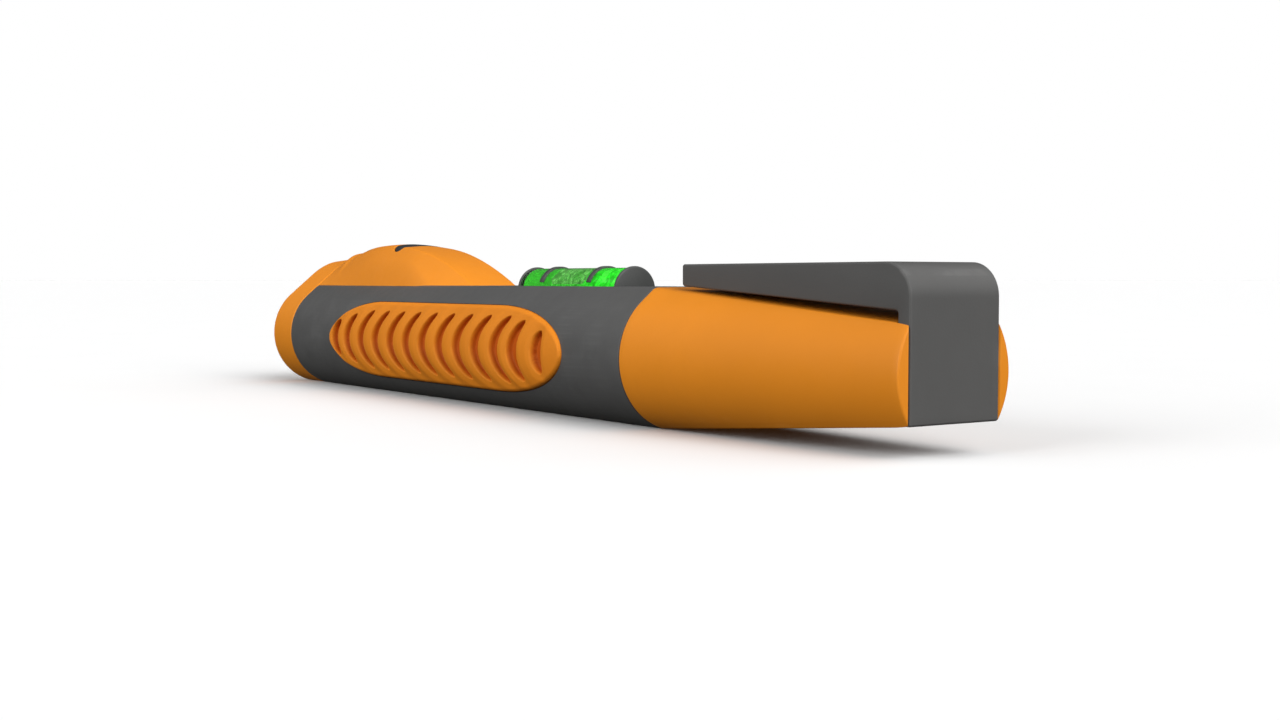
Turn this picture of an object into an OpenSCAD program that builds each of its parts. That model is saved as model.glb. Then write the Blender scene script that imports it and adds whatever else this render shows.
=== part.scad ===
// Electronic pocket stud sensor: straight grip sleeve, nose with a raised hump, level vial,
// tapered pull-off tail cap and pocket clip. Lengths run along X, the nose points to -X, the
// tail and clip to +X, and the sole lies on Z = 0. All sizes are in millimetres.

/* [Body section] */
// Height of the straight body
body_h = 17; // [16.6:0.1:18]
// Width of the flat top and of the flat sole
flat_w = 12.6; // [12:0.1:13.4]
// Distance from the flat's edge in to the centre of the round side
side_in = 2.6; // [2.3:0.1:2.9]
// Thickness of the moulded walls
wall = 1.8; // [1.6:0.05:1.85]

/* [Lengths] */
// Length of the nose in front of the sleeve
nose_l = 8.5; // [7:0.5:10]
// Length of the straight sleeve
sleeve_l = 103; // [102:0.5:106]
// Length of the tapered tail cap
tail_l = 42.06; // [40:0.02:46]
// How far the tail's top and sole close in over its length
tail_drop = 3.45; // [2.5:0.05:3.6]
// How far the tail's round sides move in over its length
tail_pull = 4.86; // [4:0.01:5]

/* [Hump] */
// Height of the hump's crest above the sole
crest_z = 23.66; // [23:0.02:25]
// Distance of the crest behind the nose's front face
crest_l = 28.9; // [26:0.1:30]
// Radius of the hump's back, seen from the side
back_r = 72; // [70:1:76]
// Radius of the hump's front slope, seen from the side
slope_r = 194; // [170:2:220]
// Angle of the nose's shoulders from the horizontal
roof_a = 40.5; // [38:0.5:43]

/* [Sense button] */
// Size of the button along the body
button_x = 3.3; // [2.8:0.1:4]
// Size of the button across the body
button_y = 7.6; // [6.6:0.1:8]
// Travel of the button and of its switch
button_travel = 0.5; // [0.3:0.05:0.55]

/* [Level vial] */
// Radius of the vial's tube
vial_r = 3; // [2.8:0.1:3.1]
// Length of the vial over its end caps
vial_l = 25.4; // [24:0.1:26]
// Height of the vial's axis above the sole
vial_z = 16.46; // [16.2:0.02:16.8]
// Distance between the two marker rings
ring_pitch = 12.15; // [10:0.05:14]
// Travel of the bubble to each side of level
bubble_travel = 4; // [2:0.5:4.5]

/* [Grips] */
// Length of a side grip
grip_l = 72.8; // [68:0.2:76]
// Height of a side grip
grip_h = 11.7; // [10.5:0.1:12]
// Length of a grip's long round end towards the nose
grip_front_l = 16; // [8:0.5:20]
// Length of a grip's long round end towards the tail
grip_rear_l = 20; // [8:0.5:24]
// Number of crescent grooves in a grip
groove_n = 13; // [9:1:13]
// Distance from one groove to the next
groove_pitch = 5.34; // [5:0.02:5.4]

/* [Clip] */
// Width of the pocket clip
clip_w = 12.5; // [10:0.1:12.5]
// Height of the clip's flat top above the sole
clip_z = 19.7; // [19:0.1:21]
// Distance of the clip's tip behind the sleeve
clip_tip = 4; // [2:0.5:10]
// Outer radius of the clip's bend
clip_bend_r = 3.2; // [2:0.1:4]

/* [Batteries] */
// Radius of an AAA cell
cell_r = 5.15; // [5:0.05:5.2]
// Length of an AAA cell over its button
cell_l = 44.5; // [43.5:0.1:44.5]

/* [Hidden] */
$fn = 128;

// Body section
mid_z = body_h / 2;
side_c = flat_w / 2 - side_in;
side_r = norm([side_in, mid_z]);
body_w = 2 * (side_c + side_r);
big = 60;

// Stations along the body
plate_proud = 0.24;
total_l = nose_l + sleeve_l + tail_l + plate_proud;
nose_x = -total_l / 2;
front_x = nose_x + nose_l;
rear_x = front_x + sleeve_l;
tail_x = rear_x + tail_l;
end_x = tail_x + plate_proud;
joint_gap = 0.1;
crest_x = nose_x + crest_l;

// Hump: half widths at its base and at the height hump_top, at the front, the crest and the back
hump_top = crest_z + 0.4;
hump_wall = 1.6;
hump_rear_x = crest_x + sqrt(pow(back_r, 2) - pow(back_r - crest_z + body_h, 2));
front_half = [flat_w / 2, 1.7];
crest_half = [5.2, 3.5];
rear_half = [3.4, 3.2];

// Nose plug, which slides into the sleeve, and its two screws
plug_l = 8;
plug_gap = 0.1;
plug_wall = 1.3;
case_screw_x = front_x + plug_l / 2;
case_screw_y = 3.5;
rib_top = 8.4;

// Boards and the chassis that carries them
board_t = 1;
board_z = 8.8;
board_top = board_z + board_t;
chassis_x = front_x + plug_l + 0.6;
bulkhead_t = 1.2;
bulkhead_x = -22.7;
contact_x = bulkhead_x + bulkhead_t;
contact_t = 0.3;
coil_wire = 0.28;
tab_z = 12.2;
tab_l = 1.6;
lead_r = 0.5;
sensor_z = 2.1;
sensor_t = 0.8;
rail_z = sensor_z + sensor_t;
rail_inset = wall + 0.2;
board_screw_x = chassis_x + 3;
board_screw_y = 7.6;
link_x = board_screw_x + 7;

// Window in the sleeve's top, under the hump
window_x = chassis_x - 0.2;
window_l = 36;
window_w = 8;

// Button, its stem and its switch
button_pos = nose_x + 32.6;
button_clear = 0.15;
button_low = 21.6;
stem_r = 1.2;
stem_clear = 0.07;
guide_z = 18.5;
guide_h = 1.5;
stem_low = 14.35;
plunger_r = 1.6;
plunger_clear = 0.08;
plunger_top = stem_low - 0.05;
plunger_low = plunger_top - 1.35;
switch_top = 13.4;

// Light window
light_pos = nose_x + 18.3;
light_x = 2.6;
light_y = 5;

// Cells, side by side, one turned round
cell_y = 5.3;
cell_z = 8.1;
button_l = 1;
left_cell_x = contact_x + contact_t + 0.05;
spring_l = 3.3;
right_cell_x = left_cell_x - 0.05 + spring_l;
bridge_x = right_cell_x + cell_l + 0.1;

// Level vial
vial_x = -5.8;
cap_t = 0.6;
cap_r = vial_r + 0.2;
vial_wall = 0.7;
bore_r = vial_r - vial_wall;
bore_gap = 0.02;
cap_plug_l = 2;
vial_mid = vial_x + vial_l / 2;
ring_mid = vial_mid - 0.3;
ring_w = 0.95;
ring_t = 0.26;
ring_span = 140;
bubble_r = 1.3;
bubble_l = 9;
bubble_z = vial_z + 0.85;
bubble_gap = 0.06;
trough_wall = 1.1;
seat_gap = 0.05;

// Grips
grip_x = nose_x + 62.2;
grip_z = mid_z + 0.1;
grip_in = 1;
grip_out = 0.4;
groove_floor = 0.45;
groove_edge = 0.75;
groove_h = 9.4;
groove_bulge = 3.9;
groove_w = 2.4;

// Tail cap and its seal
cap_plug_gap = 0.08;
cap_plug_wall = 1.4;
carrier_t = 1.2;
cap_plug_x = bridge_x + contact_t;
shoulder_l = 2;
seal_x = cap_plug_x + 3;
seal_w = 1.1;
tail_wall_x = tail_x - 3.7;
plate_x = tail_x - 1.8;
plate_t = end_x - plate_x;
stud_y = 3;
stud_r = 1.2;

// Clip
clip_neck = 14.2;
clip_neck_gap = 0.3;
clip_root_z = 14.84;
clip_tip_x = rear_x + clip_tip;
clip_tip_z = 17.3;

// Reds, greens and greys of the pieces
orange = "#F09030";
dark_grey = "#505050";

// ---- Helpers ----

// Extrudes a flat shape drawn in Y, Z from x0 to x1
module along_x(x0, x1) {
    translate([x0, 0, 0]) rotate([90, 0, 90]) linear_extrude(x1 - x0) children();
}

// Extrudes a flat shape drawn in X, Z over the width w, centred on Y = 0
module along_y(w) {
    rotate([90, 0, 0]) linear_extrude(w, center = true) children();
}

// A round bar along X
module bar_x(r, x0, x1, y, z) {
    translate([x0, y, z]) rotate([0, 90, 0]) cylinder(r = r, h = x1 - x0);
}

// A box given by two opposite corners
module block(low, high) {
    translate(low) cube(high - low);
}

// The body's section in Y, Z, moved in by inset
module section(inset = 0) {
    r = side_r - inset;
    translate([0, mid_z]) intersection() {
        union() {
            for (side = [-1, 1]) translate([side * side_c, 0]) circle(r);
            square([2 * side_c, 2 * r], center = true);
        }
        square([body_w + 4, body_h - 2 * inset], center = true);
    }
}

// A flat shape with round ends: length l along the first axis, height h along the second
module oblong(l, h) {
    for (side = [-1, 1]) translate([side * (l - h) / 2, 0]) circle(h / 2);
    square([l - h, h], center = true);
}

// A tube of radius r that follows the points of a path; up is a direction it never runs along
module sweep(path, r, up, sides = 8) {
    last = len(path) - 1;
    rings = [for (i = [0 : last])
        let (run = path[min(i + 1, last)] - path[max(i - 1, 0)])
        let (a = cross(run, up) / norm(cross(run, up)))
        let (b = cross(run, a) / norm(cross(run, a)))
        for (k = [0 : sides - 1]) path[i] + r * (a * cos(360 * k / sides) + b * sin(360 * k / sides))];
    walls = [for (i = [0 : last - 1], k = [0 : sides - 1])
        [i * sides + k, (i + 1) * sides + k, (i + 1) * sides + (k + 1) % sides, i * sides + (k + 1) % sides]];
    start = [for (k = [0 : sides - 1]) k];
    finish = [for (k = [sides - 1 : -1 : 0]) last * sides + k];
    polyhedron(rings, concat([start], walls, [finish]), convexity = 6);
}

// Points of a coil about a line along X, from x0 to x1, with its radius going from r0 to r1
function coil(x0, x1, r0, r1, turns, y, z) = [for (i = [0 : turns * 12])
    let (t = i / (turns * 12), a = 30 * i, r = r0 + (r1 - r0) * t)
    [x0 + (x1 - x0) * t, y + r * cos(a), z + r * sin(a)]];

// Points of a smooth curve from a to d, leaving towards b and arriving from c
function curve(a, b, c, d, steps = 12) = [for (i = [0 : steps])
    let (t = i / steps, s = 1 - t)
    a * pow(s, 3) + b * 3 * s * s * t + c * 3 * s * t * t + d * pow(t, 3)];

// ---- Outer forms ----

// The hump's outline in X, Z down to the height low
module crown(inset = 0, low = body_h) {
    intersection() {
        translate([crest_x, crest_z - back_r]) circle(back_r - inset, $fn = 256);
        translate([crest_x, low]) square([big, big]);
    }
    intersection() {
        translate([crest_x, crest_z - slope_r]) circle(slope_r - inset, $fn = 256);
        translate([crest_x - big, low]) square([big, big]);
    }
}

// One thin slice across the hump
module hump_slice(x, half, inset) {
    along_x(x, x + 0.01) polygon([
        [inset - half[0], body_h], [half[0] - inset, body_h],
        [half[1] - inset, hump_top], [inset - half[1], hump_top]
    ]);
}

// The hump behind the nose
module hump_form(inset = 0) {
    intersection() {
        along_y(big) crown(inset);
        hull() {
            hump_slice(front_x + inset, front_half, inset);
            hump_slice(crest_x, crest_half, inset);
            hump_slice(hump_rear_x, rear_half, inset);
        }
    }
}

// The nose's section: the body's, with shoulders that rise along a tangent to its round sides
module nose_section() {
    tangent = [side_c + side_r * sin(roof_a), mid_z + side_r * cos(roof_a)];
    section();
    polygon([[-tangent[0], tangent[1]], tangent, [0, tangent[1] + tangent[0] * tan(roof_a)]]);
}

// One round side of the tail, as a round bar with a flat block on its inner side, turned inwards
module tail_side(side, inset) {
    r = side_r - inset;
    translate([rear_x, side * side_c, mid_z]) rotate([0, 0, -side * atan(tail_pull / tail_l)])
        rotate([90, 0, 90]) linear_extrude(2 * big, center = true) {
            circle(r);
            translate([side > 0 ? -big : 0, -r]) square([big, 2 * r]);
        }
}

// The tail between x0 and x1, moved in by inset
module tail_form(x0, x1, inset = 0) {
    drop = tail_drop / tail_l;
    z0 = drop * (x0 - rear_x) + inset;
    z1 = drop * (x1 - rear_x) + inset;
    intersection() {
        tail_side(1, inset);
        tail_side(-1, inset);
        along_y(big) polygon([[x0, z0], [x1, z1], [x1, body_h - z1], [x0, body_h - z0]]);
    }
}

// ---- Outside pieces ----

// Oblong opening for the button, larger by gap, from the height low upwards
module button_prism(gap, low) {
    translate([button_pos, 0, low]) linear_extrude(big)
        rotate(90) oblong(button_y + 2 * gap, button_x + 2 * gap);
}

// Nose and hump in one moulding, with the plug that enters the sleeve and two ribs for the screws
module nose_shell() {
    plug_out = wall + plug_gap;
    plug_in = plug_out + plug_wall;
    color(orange) difference() {
        union() {
            intersection() {
                along_x(nose_x, front_x) nose_section();
                along_y(big) crown(0, 0);
            }
            hump_form();
            along_x(front_x - 1, front_x + plug_l) section(plug_out);
        }
        along_x(nose_x + 2, front_x + plug_l + 1) difference() {
            section(plug_in);
            for (side = [-1, 1]) translate([side * case_screw_y - 2, 0]) square([4, rib_top]);
        }
        difference() {
            hump_form(hump_wall);
            translate([button_pos, 0, guide_z]) cylinder(r = 2.4, h = guide_h);
            block([button_pos - 0.8, -big / 2, guide_z], [button_pos + 0.8, big / 2, guide_z + guide_h]);
        }
        button_prism(button_clear, button_low - button_travel - 0.2);
        translate([button_pos, 0, guide_z - 1]) cylinder(r = stem_r + stem_clear, h = 5);
        translate([light_pos, 0, guide_z]) linear_extrude(big) square([light_x, light_y], center = true);
        for (side = [-1, 1]) translate([case_screw_x, side * case_screw_y, 0]) cylinder(r = 0.8, h = 7.4);
    }
}

// Clear window in the hump's front slope, with the light guide that leads down to the lamps
module light_window() {
    color("#D8E4E8") intersection() {
        union() {
            translate([light_pos, 0, guide_z + 0.5]) linear_extrude(big)
                square([light_x - 0.1, light_y - 0.1], center = true);
            translate([light_pos, 0, 11.4]) linear_extrude(9) square([1.8, 4], center = true);
        }
        along_y(big) crown(0, 0);
    }
}

// Button cap that follows the crest, with its stem and the collar under the guide
module sense_button() {
    color(dark_grey) {
        intersection() {
            button_prism(0, button_low);
            hump_form(-0.1);
        }
        translate([button_pos, 0, stem_low]) cylinder(r = stem_r, h = button_low - stem_low + 0.5);
        translate([button_pos, 0, guide_z - 1.1]) cylinder(r = 1.75, h = 0.95);
    }
}

// Outline of a grip in X, Z, larger by gap: a bar whose ends are half ellipses
module grip_outline(gap = 0) {
    half_l = grip_l / 2 + gap;
    half_h = grip_h / 2 + gap;
    rear = [for (a = [-90 : 7.5 : 90])
        [half_l - grip_rear_l * (1 - cos(a)), half_h * sin(a)]];
    front = [for (a = [90 : 7.5 : 270])
        [-half_l + grip_front_l * (1 + cos(a)), half_h * sin(a)]];
    translate([grip_x, grip_z]) polygon(concat(rear, front));
}

// The half of space on one side of the body's middle
module on_side(side) {
    intersection() {
        children();
        block([nose_x, side > 0 ? 0 : -big, -1], [end_x, side > 0 ? big : 0, big]);
    }
}

// Main housing: a straight tube with a trough for the vial and recesses for the grips
module body_sleeve() {
    trough_r = vial_r + seat_gap + trough_wall;
    color(dark_grey) difference() {
        union() {
            along_x(front_x, rear_x) difference() {
                section();
                section(wall);
            }
            intersection() {
                bar_x(trough_r, vial_x - 1.2, vial_x + vial_l + 1.2, 0, vial_z);
                along_x(front_x, rear_x) section(wall / 2);
            }
        }
        bar_x(vial_r + seat_gap, vial_x - seat_gap, vial_x + vial_l + seat_gap, 0, vial_z);
        for (x = [vial_x, vial_x + vial_l - cap_t])
            bar_x(cap_r + seat_gap, x - seat_gap, x + cap_t + seat_gap, 0, vial_z);
        block([window_x, -window_w / 2, body_h - wall - 1], [window_x + window_l, window_w / 2, body_h + 1]);
        difference() {
            along_y(big) grip_outline(0.05);
            along_x(front_x, rear_x) section(grip_in);
        }
        for (side = [-1, 1]) translate([case_screw_x, side * case_screw_y, 0]) {
            translate([0, 0, -1]) cylinder(r = 2, h = 2);
            translate([0, 0, -1]) cylinder(r = 1.15, h = 5);
        }
    }
}

// Radius of an arc whose chord is 2 * half and whose rise is rise
function arc_r(half, rise) = (half * half + rise * rise) / (2 * rise);

// One crescent in X, Z that bulges towards the nose, with its two points a height h apart
module crescent(h, bulge, w) {
    outer = arc_r(h / 2, bulge);
    inner = arc_r(h / 2, bulge - w);
    difference() {
        translate([outer, 0]) circle(outer);
        translate([inner + w, 0]) circle(inner);
    }
}

// Soft side grip with its row of crescent grooves; the end ones are shorter
module grip(side) {
    first = grip_x - grip_l / 2 + groove_edge;
    color(orange) difference() {
        on_side(side) intersection() {
            along_y(big) grip_outline();
            along_x(front_x, rear_x) difference() {
                section(-grip_out);
                section(grip_in);
            }
        }
        difference() {
            along_y(big) for (i = [0 : groove_n - 1]) {
                near_end = min(i, groove_n - 1 - i);
                cut = near_end == 0 ? 0.62 : near_end == 1 ? 0.85 : 1;
                translate([first + i * groove_pitch, grip_z])
                    crescent(groove_h * cut, groove_bulge * cut, groove_w * sqrt(cut));
            }
            along_x(front_x, rear_x) section(groove_floor);
        }
    }
}

module left_grip() {
    grip(1);
}

module right_grip() {
    grip(-1);
}

// ---- Level vial ----

module vial_tube() {
    color("#30D030") difference() {
        bar_x(vial_r, vial_x + cap_t, vial_x + vial_l - cap_t, 0, vial_z);
        bar_x(bore_r, vial_x, vial_x + vial_l, 0, vial_z);
    }
}

// A bar along X with round ends
module capsule(r, l, x, z) {
    half = l / 2 - r;
    bar_x(r, x - half, x + half, 0, z);
    for (side = [-1, 1]) translate([x + side * half, 0, z]) sphere(r);
}

// Liquid, with the free space that the bubble moves in
module vial_fluid() {
    start = vial_x + cap_t + cap_plug_l;
    color("#10E010") difference() {
        bar_x(bore_r - bore_gap, start, 2 * vial_mid - start, 0, vial_z);
        capsule(bubble_r + bubble_gap, bubble_l + 2 * (bubble_travel + bubble_gap), ring_mid, bubble_z);
    }
}

module vial_bubble() {
    color("#B0E8B0") capsule(bubble_r, bubble_l, ring_mid, bubble_z);
}

// End cap with a short plug that closes the tube
module vial_cap(x, plug_x) {
    color("#404040") {
        bar_x(cap_r, x, x + cap_t, 0, vial_z);
        bar_x(bore_r - bore_gap, plug_x, plug_x + cap_plug_l, 0, vial_z);
    }
}

module vial_cap_front() {
    vial_cap(vial_x, vial_x + cap_t);
}

module vial_cap_rear() {
    vial_cap(vial_x + vial_l - cap_t, vial_x + vial_l - cap_t - cap_plug_l);
}

// Marker ring that wraps the visible part of the tube
module marker_ring(x) {
    color("#404040") translate([x, 0, vial_z]) rotate([0, -90, 0]) rotate([0, 0, -ring_span / 2])
        rotate_extrude(angle = ring_span) translate([vial_r, -ring_w / 2]) square([ring_t, ring_w]);
}

module ring_front() {
    marker_ring(ring_mid - ring_pitch / 2);
}

module ring_rear() {
    marker_ring(ring_mid + ring_pitch / 2);
}

// ---- Electronics ----

// Carrier for the boards, with the bulkhead that holds the cells' front contacts
module chassis() {
    color("#303030") difference() {
        union() {
            intersection() {
                along_x(chassis_x, contact_x) difference() {
                    section(rail_inset);
                    section(rail_inset + 1.4);
                }
                block([chassis_x, -big, rail_z], [contact_x, big, board_z]);
            }
            intersection() {
                along_x(chassis_x, contact_x) section(rail_inset);
                union() {
                    block([chassis_x, -big, rail_z], [chassis_x + 1.4, big, board_z]);
                    block([bulkhead_x, -big, 0], [contact_x, big, big]);
                    for (side = [-1, 1]) translate([board_screw_x, side * board_screw_y, 5])
                        cylinder(r = 1.8, h = board_z - 5);
                }
            }
        }
        for (side = [-1, 1]) {
            translate([board_screw_x, side * board_screw_y, 4]) cylinder(r = 0.65, h = big);
            block([bulkhead_x - 1, side * cell_y - 1.3, tab_z], [contact_x + 1, side * cell_y + 1.3, tab_z + 0.6]);
        }
        block([link_x - 1.4, -5.4, 0], [link_x + 1.4, 5.4, board_z]);
    }
}

// Lower board, which carries the sensor plates just above the sole
module sensor_board() {
    color("#1E5A3A") block([chassis_x, -6.4, sensor_z], [bulkhead_x - 0.4, 6.4, rail_z]);
}

// Three copper plates, the middle one narrow
module sensor_plates() {
    color("#C07840") for (plate = [[2, 13], [17, 4], [23, 12]])
        block([chassis_x + plate[0], -6, sensor_z - 0.15], [chassis_x + plate[0] + plate[1], 6, sensor_z]);
}

// Pin header between the two boards
module board_link() {
    color("#202020") block([link_x - 1.2, -5.2, rail_z], [link_x + 1.2, 5.2, rail_z + 2.5]);
    color("#D0B060") for (y = [-4 : 2 : 4]) translate([link_x, y, rail_z + 2.5])
        cylinder(r = 0.32, h = board_z - rail_z - 2.5);
}

// Upper board on the chassis rails
module main_board() {
    color("#1E5A3A") difference() {
        block([chassis_x, -10.2, board_z], [bulkhead_x - 0.3, 10.2, board_top]);
        for (side = [-1, 1]) translate([board_screw_x, side * board_screw_y, board_z - 1])
            cylinder(r = 0.9, h = board_t + 2);
    }
}

module controller_chip() {
    chip_x = button_pos + 6.7;
    color("#181818") block([chip_x - 3.5, -1, board_top + 0.15], [chip_x + 3.5, 6, board_top + 1.15]);
    color("#C8C8C8") for (i = [-3 : 3], side = [0, 1])
        block([chip_x + 0.9 * i - 0.2, side * 7.9 - 1.9, board_top],
            [chip_x + 0.9 * i + 0.2, side * 7.9 - 1, board_top + 0.5]);
}

// Small resistors and capacitors in two rows
module board_parts() {
    color("#A08060") for (i = [0 : 6], side = [-1, 1])
        block([button_pos - 1 + 3 * i, side * 8.6 - 0.4, board_top],
            [button_pos + 0.6 + 3 * i, side * 8.6 + 0.4, board_top + 0.6]);
}

module reservoir_cap() {
    color("#4060A0") translate([button_pos + 6.7, -4.6, board_top]) cylinder(r = 2.4, h = 4.6);
}

// Folded metal can over the analogue parts, on the upper board's underside
module shield_can() {
    can_x = button_pos - 2;
    color("#B8B8B8") difference() {
        block([can_x, -5, board_z - 2.6], [can_x + 14, 5, board_z]);
        block([can_x + 0.25, -4.75, board_z - 2.35], [can_x + 13.75, 4.75, board_z + 1]);
    }
}

// Round sounder with its sound hole
module buzzer() {
    color("#202020") translate([button_pos + 16.2, 0, board_top]) difference() {
        cylinder(r = 4.5, h = 3.2);
        translate([0, 0, 2.4]) cylinder(r = 0.8, h = 2);
    }
}

module indicator_leds() {
    color("#F0E0D0") for (y = [-1.4, 0, 1.4])
        block([light_pos - 0.8, y - 0.5, board_top], [light_pos + 0.8, y + 0.5, board_top + 1.3]);
}

module switch_body() {
    color("#282828") difference() {
        block([button_pos - 3, -3, board_top], [button_pos + 3, 3, switch_top]);
        translate([button_pos, 0, plunger_low - button_travel - 0.05])
            cylinder(r = plunger_r + plunger_clear, h = 5);
    }
}

module switch_plunger() {
    color("#A02020") translate([button_pos, 0, plunger_low])
        cylinder(r = plunger_r, h = plunger_top - plunger_low);
}

// A screw that stands on its head, with its head at Z = 0
module screw(head_r, head_h, shank_r, l) {
    difference() {
        union() {
            cylinder(r = head_r, h = head_h);
            cylinder(r = shank_r, h = l);
        }
        for (a = [0, 90]) rotate(a) cube([head_r * 1.2, head_r * 0.3, head_h], center = true);
    }
}

module board_screws() {
    color("silver") for (side = [-1, 1])
        translate([board_screw_x, side * board_screw_y, board_top + 0.8]) rotate([180, 0, 0])
            screw(1.4, 0.8, 0.6, 4.4);
}

module case_screws() {
    color("silver") for (side = [-1, 1])
        translate([case_screw_x, side * case_screw_y, 0.1]) screw(1.8, 0.85, 0.78, 7);
}

// Flat contact on the bulkhead, with a solder tab that passes through it
module front_contact(y) {
    block([contact_x, y - 3.2, cell_z - 3.4], [contact_x + contact_t, y + 3.2, tab_z + contact_t]);
    block([bulkhead_x - tab_l, y - 1.1, tab_z], [contact_x + contact_t, y + 1.1, tab_z + contact_t]);
}

// Contact coil from the plate at x0 to the cell's flat end at x1
module contact_coil(x0, x1, y) {
    sweep(coil(x0, x1, 3, 1.9, 4, y, cell_z), coil_wire, [1, 0, 0], 6);
}

// Front contact for the left cell's button
module plate_contact() {
    color("#D8D0B0") front_contact(cell_y);
}

// Front contact for the right cell's flat end, with its coil
module spring_contact() {
    color("#D8D0B0") {
        front_contact(-cell_y);
        contact_coil(contact_x + contact_t + coil_wire / 2, right_cell_x - coil_wire - 0.02, -cell_y);
    }
}

// A lead from a contact's tab, in an arc down to the upper board
module lead(side) {
    tab = [bulkhead_x - 1, side * cell_y, tab_z + contact_t + lead_r + 0.02];
    pad = [bulkhead_x - 6.5, side * 6, board_top + 0.05];
    sweep(curve(tab, tab + [-3.5, 0, 0], pad + [0, 0, 3], pad), lead_r, [0, 1, 0]);
}

module lead_red() {
    color("#C02020") lead(1);
}

module lead_black() {
    color("#202020") lead(-1);
}

// ---- Cells ----

// An AAA cell along X with its flat end at x0 and its button on the side given by dir
module cell(x0, dir, y) {
    translate([x0, y, cell_z]) rotate([0, 90 * dir, 0]) {
        cylinder(r = cell_r, h = cell_l - button_l);
        cylinder(r = 1.8, h = cell_l);
    }
}

module left_cell() {
    color("#C09030") cell(left_cell_x + cell_l, -1, cell_y);
}

module right_cell() {
    color("#C09030") cell(right_cell_x, 1, -cell_y);
}

// ---- Tail ----

// Tapered cap with the plug that closes the cell bay, and a recess in its end for the clip
module tail_cap() {
    plug_out = wall + cap_plug_gap;
    plug_in = plug_out + cap_plug_wall;
    start = rear_x + joint_gap;
    color(orange) difference() {
        union() {
            tail_form(start, tail_x);
            along_x(cap_plug_x, start + shoulder_l) section(plug_out);
        }
        along_x(cap_plug_x - 1, start + shoulder_l + 0.5) section(plug_in);
        tail_form(start + shoulder_l, tail_wall_x, wall);
        block([plate_x, -clip_w / 2 - 0.05, 0], [end_x + 1, clip_w / 2 + 0.05, body_h]);
        along_x(seal_x - 0.05, seal_x + seal_w + 0.05) difference() {
            section(0);
            section(wall + 1);
        }
        for (side = [-1, 1]) bar_x(stud_r + 0.05, tail_wall_x - 1, plate_x + 1, side * stud_y, mid_z);
    }
}

// Plate that closes the plug's mouth and carries the bridge contact
module contact_carrier() {
    color("#303030") along_x(cap_plug_x, cap_plug_x + carrier_t)
        section(wall + cap_plug_gap + cap_plug_wall + 0.02);
}

// Rubber seal in the plug's groove
module cap_seal() {
    color("#181818") along_x(seal_x, seal_x + seal_w) difference() {
        section(wall + 0.03);
        section(wall + 0.97);
    }
}

// Spring strip that joins the two cells at the tail, riveted to the plug's end
module bridge_contact() {
    color("#D8D0B0") block([bridge_x, -cell_y - 3.2, cell_z - 3.2], [bridge_x + contact_t, cell_y + 3.2, cell_z + 3.2]);
}

module bridge_spring() {
    color("#D8D0B0") contact_coil(bridge_x - coil_wire - 0.02, left_cell_x + cell_l + coil_wire + 0.07, cell_y);
}

// ---- Clip ----

// End plate in the tail cap's recess, with two studs through the wall behind it
module clip_bracket() {
    color(dark_grey) {
        block([plate_x + 0.02, -clip_w / 2, tail_drop], [end_x, clip_w / 2, clip_neck]);
        for (side = [-1, 1]) bar_x(stud_r, tail_wall_x - 1.6, plate_x + 0.02, side * stud_y, mid_z);
    }
}

// Wedge-shaped arm over the tail's top
module clip_arm() {
    neck = clip_neck + clip_neck_gap;
    bend_x = end_x - clip_bend_r;
    bend_z = clip_z - clip_bend_r;
    color(dark_grey) along_y(clip_w) difference() {
        polygon([
            [plate_x + 0.02, neck], [plate_x + 0.02, clip_root_z], [clip_tip_x + 0.5, clip_tip_z],
            [clip_tip_x, clip_tip_z + 0.3], [clip_tip_x, clip_z - 0.3], [clip_tip_x + 0.3, clip_z],
            [end_x, clip_z], [end_x, neck]
        ]);
        translate([bend_x, bend_z]) difference() {
            square(clip_bend_r + 1);
            circle(clip_bend_r);
        }
    }
}

// Push-on nuts that hold the clip's studs inside the tail cap
module push_nuts() {
    color("silver") for (side = [-1, 1]) difference() {
        bar_x(2.6, tail_wall_x - 0.5, tail_wall_x - 0.1, side * stud_y, mid_z);
        bar_x(stud_r, tail_wall_x - 1, tail_wall_x + 1, side * stud_y, mid_z);
    }
}

nose_shell();
light_window();
sense_button();
body_sleeve();
left_grip();
right_grip();
vial_tube();
vial_fluid();
vial_bubble();
vial_cap_front();
vial_cap_rear();
ring_front();
ring_rear();
chassis();
sensor_board();
sensor_plates();
board_link();
main_board();
controller_chip();
board_parts();
reservoir_cap();
shield_can();
buzzer();
indicator_leds();
switch_body();
switch_plunger();
board_screws();
case_screws();
plate_contact();
spring_contact();
lead_red();
lead_black();
left_cell();
right_cell();
tail_cap();
cap_seal();
contact_carrier();
bridge_contact();
bridge_spring();
clip_bracket();
clip_arm();
push_nuts();
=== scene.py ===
"""Visual model of a pocket stud sensor: fine meshes for the outside, procedural finishes for every piece."""
import math

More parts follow.
